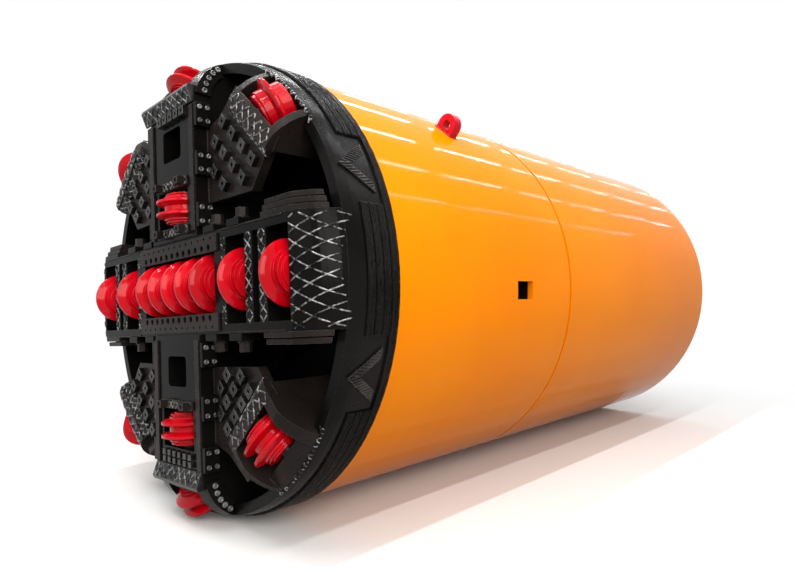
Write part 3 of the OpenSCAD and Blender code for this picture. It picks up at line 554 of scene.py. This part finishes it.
# %% Loose solids of a node
def solids(name):
    """The low and high corner, in the head's axes, of each loose solid of a node."""
    mesh = nodes[name].data
    spot, home = {}, []
    for v in mesh.vertices:
        home.append(spot.setdefault(tuple(round(c, 5) for c in v.co), len(spot)))
    root = list(range(len(spot)))

    def find(i):
        while root[i] != i:
            root[i] = root[root[i]]
            i = root[i]
        return i

    for face in mesh.polygons:
        first = find(home[face.vertices[0]])
        for v in face.vertices[1:]:
            root[find(home[v])] = first
    groups = {}
    for place, i in spot.items():
        groups.setdefault(find(i), []).append(TO_HEAD @ Vector(place))
    return [(Vector(map(min, zip(*g))), Vector(map(max, zip(*g)))) for g in groups.values()]


ARM_REACH = 0.4  # blocks nearer the middle than this belong to the upright arms
block_boxes = [(low, high) for low, high in solids("side_blocks") if abs((low.x + high.x) / 2) < ARM_REACH]
print(len(block_boxes), "blocks beside the upright arms")

# %% Screws on the blocks and the cheek plates
BLOCK_SCREW, CHEEK_SCREW = 0.0150, 0.0175
CHEEK = 0.322  # outer side of a cheek plate, from the middle of the arm
ARC, ARC_COUNT, ARC_FIRST, ARC_STEP = 0.242, 5, 9, 11  # screws round the shoulder, in metres and degrees
screws = []
for low, high in block_boxes:
    mid, side = (low + high) / 2, 1 if low.x > 0 else -1
    toothed = high.x - low.x > 0.06
    du, da, back = (0.03, 0.018, 0.01) if toothed else (0.042, 0.026, 0.0)
    for i in (-1, 1):
        for j in (-1, 1):
            at = head(high.x if side > 0 else low.x, mid.y + i * du, mid.z - back + j * da)
            screws.append((at, SIDE * side, BLOCK_SCREW))
for step in range(ARC_COUNT):
    turn = math.radians(ARC_FIRST + ARC_STEP * step)
    u, a = RIM - SHOULDER + ARC * math.sin(turn), FACE - SHOULDER + ARC * math.cos(turn)
    for sx in (-1, 1):
        for su in (-1, 1):
            screws.append((head(sx * CHEEK, su * u, a), SIDE * sx, CHEEK_SCREW))
bolts("head_bolts", screws, screw_steel, "cutterhead", sides=20, socket=0.66)

# %% [markdown]
# ## Hard-facing on the head
# Where rock rubs, the real head carries a net of weld beads. A bump in the material would vanish from the
# side, so the beads are solid. A hatch fills a rectangle of a surface with two crossed families of
# strokes. The surface is a function from two flat numbers to a point, or to nothing where there is no
# steel, so one hatch serves the round spoke ends, the bars, the slanted beams and the strips.


# %% Crossed strokes
def hatch(surface, across, along, pitch, width, rise=1.0):
    """Crossed strokes over a rectangle, given by its limits across and along. rise is their slope."""
    (s0, s1), (t0, t1) = across, along
    steps, climb, strokes = 24, rise * (s1 - s0), []
    for sign in (1, -1):
        for n in range(math.ceil((t1 - t0 + climb) / pitch)):
            stroke = []
            for i in range(steps + 1):
                s = s0 + (s1 - s0) * i / steps
                t = t0 - climb + (n + 0.5) * pitch + rise * (s - s0 if sign > 0 else s1 - s)
                point = surface(s, t) if t0 <= t <= t1 else None
                if point is not None:
                    stroke.append(point)
                elif stroke:
                    strokes.append((stroke, width))
                    stroke = []
            strokes.append((stroke, width))
    return [(stroke, width) for stroke, width in strokes if len(stroke) > 1]


SKIM = 0.001  # how far the line of a bead lies above the steel
END_PLATE = (1.214, 1.425)
POSTS = ((0.550, 0.600), (0.801, 0.873), (0.933, 1.005))  # steel between the cutters of the level spoke
INSET = 0.006
hard = []
for side in (1, -1):
    def spoke_end(x, u):
        return head(side * x, u, min(CROSS, outline(x, u)) + SKIM)

    def post(x, u):
        return head(side * x, u, CROSS + SKIM)

    hard += hatch(spoke_end, END_PLATE, (-0.285, 0.285), pitch=0.080, width=0.0095, rise=0.62)
    for x0, x1 in POSTS:
        hard += hatch(post, (x0 + INSET, x1 - INSET), (-0.245, 0.245), pitch=0.07, width=0.008)
print(len(hard), "strokes on the level spoke")

# %% [markdown]
# The boxes of the gauge cutters and the rim beside them are rounded in two ways at once. A formula for
# them would be long, so a ray from ahead finds the surface of the CAD model. A hit far behind the head's
# outline is the wall of an opening, and gets no bead.


# %% Beads on the corner boxes and the rim beside them
def seen_from_ahead(name):
    """A function that drops a point of the head on that node, or gives nothing in an opening."""
    mesh = nodes[name].data
    tree = BVHTree.FromPolygons([v.co for v in mesh.vertices], [p.vertices for p in mesh.polygons])

    def drop(point):
        x, u, _ = TO_HEAD @ point
        hit = tree.ray_cast(head(x, u, 1.0), -AHEAD)[0]
        return hit if hit is not None and (TO_HEAD @ hit).z > outline(x, u) - 0.06 else None
    return drop


CORNERS = {  # side and height of each corner: its node, and how far out the foot of its box is
    (1, 1): ("corner_ur", 1.165),
    (-1, 1): ("corner_ul", 1.165),
    (-1, -1): ("corner_ll", 1.165),
    (1, -1): ("corner_lr", 1.030),
}
FOOT_BAR = 0.045  # radius of the round bar at the foot of a box
rim_drop = seen_from_ahead("head_rim")
for (sx, su), (name, reach) in CORNERS.items():
    box_drop = seen_from_ahead(name)

    def foot_bar(turn, q):
        p = reach - FOOT_BAR * math.cos(turn / FOOT_BAR)
        return corner(p, q, PLATE + FOOT_BAR * math.sin(turn / FOOT_BAR), sx, su)

    def box_top(p, q):
        return box_drop(corner(p, q, 0, sx, su))

    def rim_face(r, t):
        return rim_drop(corner(r * math.cos(t / r), r * math.sin(t / r), 0, sx, su))

    hard += hatch(foot_bar, (0.002, 0.068), (-0.246, 0.246), pitch=0.05, width=0.009)
    hard += hatch(box_top, (reach + 0.004, reach + 0.098), (-0.240, 0.240), pitch=0.078, width=0.010,
                  rise=0.8)
    hard += hatch(rim_face, (1.396, 1.440), (-0.30, 0.30), pitch=0.06, width=0.009, rise=0.7)
print(len(hard), "strokes with the corners")

# %% [markdown]
# Slanted beams close the ends of the upright arms, and narrow strips cross them beside the cutters. Both are
# flat, so a formula is enough. Each strip carries an ear near both ends, and the beads stop short of it.

# %% Beads on the beams and strips of the upright arms
BEAM_RUN, BEAM_FOOT, BEAM_TOP = 0.0864, 0.010, 0.042
BEAMS = ((1, 0.034, 0.350), (-1, 0.046, 0.290))  # up or down, how far in it starts, its left end
BEAM_RIGHT, BEAM_INSET = 0.288, 0.004
STRIPS = ((0.633, 0.679), (0.331, 0.377), (-0.752, -0.706))
STRIP_TOP, STRIP_HALF, EAR_X, EAR_ROOM = 0.0125, 0.205, 0.15, 0.034
for su, setback, left in BEAMS:
    def beam(v, x):
        part = v / BEAM_RUN
        return head(x, su * (RIM - SHOULDER - setback + v), FACE + BEAM_FOOT + (BEAM_TOP - BEAM_FOOT) * part)

    hard += hatch(beam, (BEAM_INSET, BEAM_RUN - BEAM_INSET), (-left, BEAM_RIGHT), pitch=0.07, width=0.0095)
for across in STRIPS:
    def strip(u, x):
        return head(x, u, FACE + STRIP_TOP) if abs(abs(x) - EAR_X) > EAR_ROOM else None

    hard += hatch(strip, across, (-STRIP_HALF, STRIP_HALF), pitch=0.046, width=0.007)
beads("hard_facing_beads", hard, hardface, "cutterhead")

# %% [markdown]
# ## The rim
# The bands round the rim are built up from weld runs laid side by side, and a knotted run closes the
# rim's edge at the shield. Rings would be too regular, so each run is a bead along an arc with a good
# deal of shake. The bands stop at the chevrons, apart from the one nearest the shield.

# %% Runs on the rim
CHEVRONS = [math.radians(a) for a in (22, 158, 202, 338)]
BARE = math.radians(8.6)  # half the gap in a band at a chevron
BAND_TOP = RIM + 0.0093
BANDS, BAND_START, BAND_PITCH = 4, 0.026, 0.056
BAND_RUNS, RUN_WIDTH = (0.006, 0.018, 0.030, 0.042), 0.0115
ARC_PIECE = math.radians(2.0)


def rim_point(angle, a, radius=BAND_TOP):
    return head(radius * math.cos(angle), radius * math.sin(angle), a)


def rim_run(a, first, last, width, radius=BAND_TOP):
    """A run round the rim between two angles."""
    count = max(math.ceil((last - first) / ARC_PIECE), 2)
    return [rim_point(first + (last - first) * i / count, a, radius) for i in range(count + 1)], width


runs = [rim_run(0.019, 0, math.tau, 0.016, RIM)]
between = [(near + BARE, far - BARE) for near, far in zip(CHEVRONS, CHEVRONS[1:] + [CHEVRONS[0] + math.tau])]
for band in range(BANDS):
    for first, last in between if band else [(0, math.tau)]:
        runs += [rim_run(BAND_START + band * BAND_PITCH + run, first, last, RUN_WIDTH) for run in BAND_RUNS]
beads("rim_runs", runs, rim_black, "cutterhead", step=0.016, shake=0.008, ripple=0.0)

# %% [markdown]
# A chevron is a field of short ribs that scrapes the tunnel wall. Its flat form is in the CAD model. The
# ribs are beads from its upper edge to its lower one, and they lean outwards on both sides of the tip.

# %% Ribs on the chevrons
TIP, FOOT, HALF, ARM = 0.316, 0.112, 0.150, 0.058
STEEP = (TIP - FOOT) / HALF
RIBS, RIB_PITCH, RIB_LEAN, RIB_WIDTH = 10, 0.0142, 0.006, 0.0125
RIB_INSET, RIB_SHORTER = 0.004, 0.012
chevron_ribs = []
for turn in CHEVRONS:
    for step in range(-RIBS, RIBS + 1):
        t = RIB_PITCH * step
        top = TIP - STEEP * abs(t) - RIB_INSET
        foot = max(top - STEEP * ARM + RIB_SHORTER, FOOT + RIB_INSET)
        lean = RIB_LEAN if step > 0 else -RIB_LEAN
        ends = [rim_point(turn + (t + lean) / RIM, top), rim_point(turn + (t - lean) / RIM, foot)]
        chevron_ribs.append((ends, RIB_WIDTH))
beads("chevron_ribs", chevron_ribs, dark_steel, "cutterhead", step=0.012, shake=0.003)

# %% [markdown]
# ## Welds of the head
# The plates of the head are joined by fillet welds. They run along the feet of the upright arms, along
# the level spoke, and where the boxes of the gauge cutters stand on their plates. The line of each lies
# on the steel, so that half of the bead is sunk in it.

# %% Head welds
fillets = []
WELD_LIFT = 0.002
WELD_LINE = SPOKE + 0.002
ARM_FEET = ((0.505, 0.658), (0.812, 0.955))
BOX_SIDE, BOX_WELD = 0.254, 0.09
LEDGE_LINE, LEDGE_RUN = 0.292, (0.56, 1.16)


def fillet(start_point, end_point, width=0.013):
    fillets.append(([start_point, end_point], width))


for su in (-1, 1):
    fillet(head(-SPOKE, su * WELD_LINE, CROSS + WELD_LIFT), head(SPOKE, su * WELD_LINE, CROSS + WELD_LIFT))
    for sx in (-1, 1):
        for u0, u1 in ARM_FEET:
            fillet(head(sx * WELD_LINE, su * u0, PLATE + WELD_LIFT),
                   head(sx * WELD_LINE, su * u1, PLATE + WELD_LIFT), width=0.016)
        reach = CORNERS[sx, su][1]
        for q in (-BOX_SIDE, BOX_SIDE):
            fillet(corner(reach, q, PLATE + WELD_LIFT, sx, su),
                   corner(reach + BOX_WELD, q, PLATE + WELD_LIFT, sx, su))
for sx in (-1, 1):
    for u in (-LEDGE_LINE, LEDGE_LINE):
        fillet(*(head(sx * x, u, CROSS + SKIM) for x in LEDGE_RUN), width=0.01)
beads("head_welds", fillets, ledge, "cutterhead", step=0.012, shake=0.004, ripple=0.22)

# %% [markdown]
# ## Welds on the shield
# Each lifting lug stands in a fillet weld on the round skin. A ring of straight lines would leave the
# skin, so the four sides of the weld are laid out as angle and length and bent round the shield.


# %% Lug welds
def skin(angle, y, lift):
    """A point on the shield: angle from the right-hand side upwards, place along the axis."""
    return Vector(((SHIELD + lift) * math.cos(angle), y, (SHIELD + lift) * math.sin(angle)))


def lug_weld(angle, y):
    half, thick, steps = 0.083 / SHIELD, 0.038, 6
    loop = [(angle + i * half, y + j * thick) for i, j in ((-1, -1), (1, -1), (1, 1), (-1, 1))]
    run = []
    for (a0, y0), (a1, y1) in zip(loop, loop[1:] + loop[:1]):
        run += [skin(a0 + (a1 - a0) * i / steps, y0 + (y1 - y0) * i / steps, 0.003) for i in range(steps)]
    return run + [run[0]], 0.014


def middle_y(name):
    low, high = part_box(name)
    return (low.y + high.y) / 2


LUG_ANGLE = math.radians(51)
front_y = middle_y("front_lugs")
beads("front_lug_welds", [lug_weld(LUG_ANGLE, front_y), lug_weld(math.pi - LUG_ANGLE, front_y)], lug_red,
      "front_shield", step=0.008, shake=0.003)
beads("rear_lug_weld", [lug_weld(math.pi / 2, middle_y("rear_lug"))], lug_red,
      "rear_shield", step=0.008, shake=0.003)

# %% [markdown]
# ## Fittings seen from the tail
# Through the tail one sees the ring that the pipes push on, and the drive with its motors. Both are held
# by rings of hexagon bolts, which are points on a circle for the bolt tree.


# %% Rings of bolts
TAIL = Vector((0, 1, 0))


def across_axis(centre, radius, turn):
    """A point on a circle across the machine."""
    return Vector(centre) + Vector((radius * math.cos(turn), 0, radius * math.sin(turn)))


def bolt_ring(centre, radius, count, size):
    """Bolts that face the tail, on a circle across the machine."""
    turns = [math.tau * (i + 0.5) / count for i in range(count)]
    return [(across_axis(centre, radius, t), TAIL, size) for t in turns]


ring_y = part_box("jacking_ring")[1].y
bolts("jacking_ring_bolts", bolt_ring((0, ring_y, 0), SHIELD - 0.105, 40, 0.021), bolt_steel, "rear_shield",
      sides=6, socket=0.1)
drive_low, drive_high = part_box("main_drive")
motor_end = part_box("drive_motors")[1].y
MOTORS, MOTOR_RADIUS, FLANGE, FLANGE_TOP = 6, 0.125, 0.090, 0.07
MOTOR_RING = (drive_high.x - FLANGE) * 2 / 3
motor_turns = [math.tau * i / MOTORS for i in range(MOTORS)]
motor_ends = [Vector((MOTOR_RING * math.sin(t), motor_end, MOTOR_RING * math.cos(t))) for t in motor_turns]
drive_bolts = bolt_ring((0, drive_low.y + FLANGE_TOP, 0), drive_high.x - FLANGE / 2, 36, 0.019)
for end in motor_ends:
    drive_bolts += bolt_ring(end, 0.09, 8, 0.011)
bolts("drive_bolts", drive_bolts, bolt_steel, "front_shield", sides=6, socket=0.1)

# %% [markdown]
# The motors are cooled by ribs round their casings. They could be turned in the CAD model, but nothing
# fits against them, so each rib is a bead along a circle, half sunk in the casing.

# %% Cooling ribs on the motors
RIB_COUNT, FIRST_RIB, RIB_STEP, CIRCLE = 9, 0.05, 0.032, 36
ribs = []
for end in motor_ends:
    for i in range(RIB_COUNT):
        centre = end - Vector((0, FIRST_RIB + RIB_STEP * i, 0))
        ring = [across_axis(centre, MOTOR_RADIUS, math.tau * k / CIRCLE) for k in range(CIRCLE + 1)]
        ribs.append((ring, 0.014))
beads("motor_ribs", ribs, drive, "front_shield", step=0.02, shake=0.0, ripple=0.0)

# %% [markdown]
# The cabinets have sheet doors with louvres and a bent handle. The doors and louvres are boxes
# with rounded edges. Every bar of the louvres stands in the door it belongs to, and the handles are beads
# with their ends on the door.


# %% Doors of the cabinets
def rounded_boxes(name, boxes, radius, material, body):
    """Boxes with rounded edges, joined into one piece."""
    shape = bmesh.new()
    for low, high in boxes:
        corners = bmesh.ops.create_cube(shape, size=1.0)["verts"]
        bmesh.ops.scale(shape, vec=high - low, verts=corners)
        bmesh.ops.translate(shape, vec=(low + high) / 2, verts=corners)
    bmesh.ops.bevel(shape, geom=shape.edges[:], offset=radius, segments=2, affect="EDGES", profile=0.5)
    mesh = bpy.data.meshes.new(name)
    shape.to_mesh(mesh)
    shape.free()
    piece = bpy.data.objects.new(name, mesh)
    mesh.materials.append(material)
    bpy.context.scene.collection.objects.link(piece)
    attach(piece, body)
    print(name, len(boxes), "boxes", len(mesh.polygons), "faces")


def box_between(x_pair, y_pair, z_pair):
    """The low and high corner of a box, with its two x in either order."""
    x0, x1 = sorted(x_pair)
    return Vector((x0, y_pair[0], z_pair[0])), Vector((x1, y_pair[1], z_pair[1]))


case_low, case_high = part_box("cabinets")
DOOR, MARGIN = 0.014, 0.03  # thickness of a door, and the frame round it
FRONT = SHIELD - 0.690  # front of a cabinet, from the axis
DOOR_FACE = FRONT - DOOR
END_DOOR, END_HALF = (FRONT + 0.05, FRONT + 0.50), 0.30
SLATS, SLAT_FIRST, SLAT_PITCH, SLAT_HIGH, SLAT_INSET = 7, 0.10, 0.026, 0.011, 0.12
GRIP_EDGE, GRIP_OUT, GRIP_HALF, GRIP_FOOT = 0.05, 0.035, 0.06, 0.07
doors, louvres, handles = [], [], []
door_width = (case_high.y - case_low.y - 3 * MARGIN) / 2
for side in (-1, 1):
    for n in range(2):
        y0 = case_low.y + MARGIN + n * (door_width + MARGIN)
        doors.append(box_between((side * DOOR_FACE, side * FRONT), (y0, y0 + door_width),
                                 (case_low.z + MARGIN, case_high.z - MARGIN)))
        for step in range(SLATS):
            z = case_low.z + SLAT_FIRST + SLAT_PITCH * step
            louvres.append(box_between((side * (DOOR_FACE - 0.005), side * (DOOR_FACE + 0.004)),
                                       (y0 + SLAT_INSET, y0 + door_width - SLAT_INSET), (z, z + SLAT_HIGH)))
        grip_y = y0 + (GRIP_EDGE if n else door_width - GRIP_EDGE)
        face, out = side * DOOR_FACE, side * (DOOR_FACE - GRIP_OUT)
        bends = ((face, -GRIP_FOOT), (out, -GRIP_HALF), (out, GRIP_HALF), (face, GRIP_FOOT))
        handles.append(([Vector((x, grip_y, z)) for x, z in bends], 0.014))
    doors.append(box_between((side * END_DOOR[0], side * END_DOOR[1]), (case_high.y, case_high.y + DOOR),
                             (-END_HALF, END_HALF)))
rounded_boxes("cabinet_doors", doors, 0.004, grey, "rear_shield")
rounded_boxes("cabinet_louvres", louvres, 0.002, drive, "rear_shield")
beads("cabinet_handles", handles, steel, "rear_shield", step=0.012, shake=0.0, ripple=0.0)

# %% [markdown]
# The walkway is tread plate. Its raised bars lean left and right by turns, row by row. A bump would do
# from afar, but the plate is seen at a flat angle from the tail, so each bar is a short bead.

# %% Tread of the walkway
walk_low, walk_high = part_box("walkway")
WALK_HALF, PITCH, BAR, BAR_WIDTH = 0.235, 0.052, 0.016, 0.009
WALK_END, WALK_MARGIN = 0.03, 0.04
tread = []
for row in range(int((walk_high.y - walk_low.y - WALK_MARGIN) / PITCH)):
    for column in range(int(2 * WALK_HALF / PITCH) + 1):
        y, x = walk_low.y + WALK_END + row * PITCH, -WALK_HALF + column * PITCH
        lean = BAR if (row + column) % 2 else -BAR
        ends = [Vector((x - lean, y - BAR, walk_high.z)), Vector((x + lean, y + BAR, walk_high.z))]
        tread.append((ends, BAR_WIDTH))
beads("walkway_tread", tread, dark_steel, "rear_shield", step=0.024, shake=0.0, ripple=0.0)

# %% [markdown]
# ## Floor, lamps and camera
# Floor and sky are white to the camera and in reflections. To the soft light they are grey, because a
# white floor would wash out the black head and the lower half of the shield. The floor keeps the shadow
# near the machine and fades to white further out.


# %% Floor and sky
def shown(place):
    """1 for what the camera sees, straight, through glass or in a reflection, and 0 for soft light."""
    path = place.node("ShaderNodeLightPath")
    straight = path.math("MAXIMUM", path["Is Camera Ray"], path["Is Transmission Ray"])
    return path.math("MAXIMUM", straight, path["Is Glossy Ray"])


GROUND = cad_box[0][2]
SPAN = 60.0  # half the width of the floor
FADE_FROM, FADE_TO = 3.4, 6.2  # distances from the middle of the machine
MIDDLE = (0, -2.7, GROUND)


def pale_floor():
    made, shader, place = start("pale_floor")
    pale = place.noise(0.8, 3.0).blend((0.93, 0.93, 0.93, 1), (0.97, 0.97, 0.97, 1))
    feed(shader, Base_Color=shown(place).blend((0.3, 0.3, 0.3, 1), pale))
    shader.inputs["Roughness"].default_value = 0.9
    shader.inputs["Specular IOR Level"].default_value = 0.1
    away = place.node("ShaderNodeVectorMath", {"operation": "DISTANCE"}, {0: place, 1: MIDDLE})["Value"]
    white = place.node("ShaderNodeEmission", None, {"Color": (1, 1, 1, 1), "Strength": 1.0})
    lit = Wire(place.tree, shader.outputs[0])
    far = away.ramp(FADE_FROM, FADE_TO) * shown(place)
    faded = place.node("ShaderNodeMixShader", None, {0: far, 1: lit, 2: white})
    place.tree.links.new(faded.socket, place.tree.nodes["Material Output"].inputs["Surface"])
    return made


sheet = bpy.data.meshes.new("floor")
corners = [(x * SPAN, y * SPAN, GROUND) for x, y in ((-1, -1), (1, -1), (1, 1), (-1, 1))]
sheet.from_pydata(corners, [], [(0, 1, 2, 3)])
floor = bpy.data.objects.new("floor", sheet)
floor.data.materials.append(pale_floor())
bpy.context.scene.collection.objects.link(floor)

SKY = 0.30
world = bpy.data.worlds.new("white hall")
bpy.context.scene.world = world
world.use_nodes = True
sky = world.node_tree.nodes["Background"]
sky.inputs["Color"].default_value = (1, 1, 1, 1)
world.node_tree.links.new((SKY + shown(Wire(world.node_tree)) * (1.0 - SKY)).socket, sky.inputs["Strength"])
print("floor at", round(GROUND, 3))

# %% [markdown]
# The machine stands in a hall with rows of long lamps, which draw the streaks on its paint. One large
# lamp would give a single soft patch instead. The lamps grow weaker towards the tail, and two wide fills
# light the face and the near side.


# %% Lamps
def lamp(name, at, aim, size, power, colour=(1, 1, 1)):
    light = bpy.data.lights.new(name, "AREA")
    light.shape, light.size, light.size_y = "RECTANGLE", size[0], size[1]
    light.energy, light.color = power, colour
    made = bpy.data.objects.new(name, light)
    made.location = at
    made.rotation_euler = (Vector(aim) - Vector(at)).to_track_quat("-Z", "Y").to_euler()
    bpy.context.scene.collection.objects.link(made)


ROWS = (-4.4, -1.6, 0.5, 2.4, 4.6)
LAMPS, FIRST_Y, LAMP_STEP, STAGGER, LAMP_HEIGHT = 9, -8.0, 2.3, 0.5, 5.0
BRIGHTEST, WEAKER, WEAKEST = 54, 9, 6  # watts of the first lamp, the loss for each step, the least
WIDTH_PER_WATT, LAMP_LENGTH = 0.002, 1.8
for row, x in enumerate(ROWS):
    for step in range(LAMPS):
        y, power = FIRST_Y + step * LAMP_STEP + STAGGER * (row % 2), max(BRIGHTEST - WEAKER * step, WEAKEST)
        size = (WIDTH_PER_WATT * power, LAMP_LENGTH)
        lamp(f"hall_lamp_{row}_{step}", (x, y, LAMP_HEIGHT), (x, y, 0), size, power)
lamp("front_fill", (1.0, -13.0, 3.6), (0, -4.5, 0), (7.0, 4.0), 170, (1.0, 0.95, 0.9))
lamp("side_fill", (8.0, -9.0, 3.0), (1.4, -4.2, 0.2), (5.5, 4.5), 620, (1.0, 0.96, 0.9))
print("lamps", len(bpy.data.lights))

# %% [markdown]
# The camera stands low on the right, close to the head, with a wide lens. Its place and lens were fitted
# to the edges and the seam of the shield, which are circles on one axis.

# %% Camera
camera = bpy.data.objects.new("camera", bpy.data.cameras.new("camera"))
camera.location = (3.6128, -7.1468, -0.0392)
camera.rotation_euler = (math.radians(90.802), 0, math.radians(44.136))
camera.data.sensor_width, camera.data.lens = 36.0, 26.75
bpy.context.scene.collection.objects.link(camera)
bpy.context.scene.camera = camera
bpy.context.scene.view_settings.view_transform = "Standard"
print("camera lens", camera.data.lens, "mm")
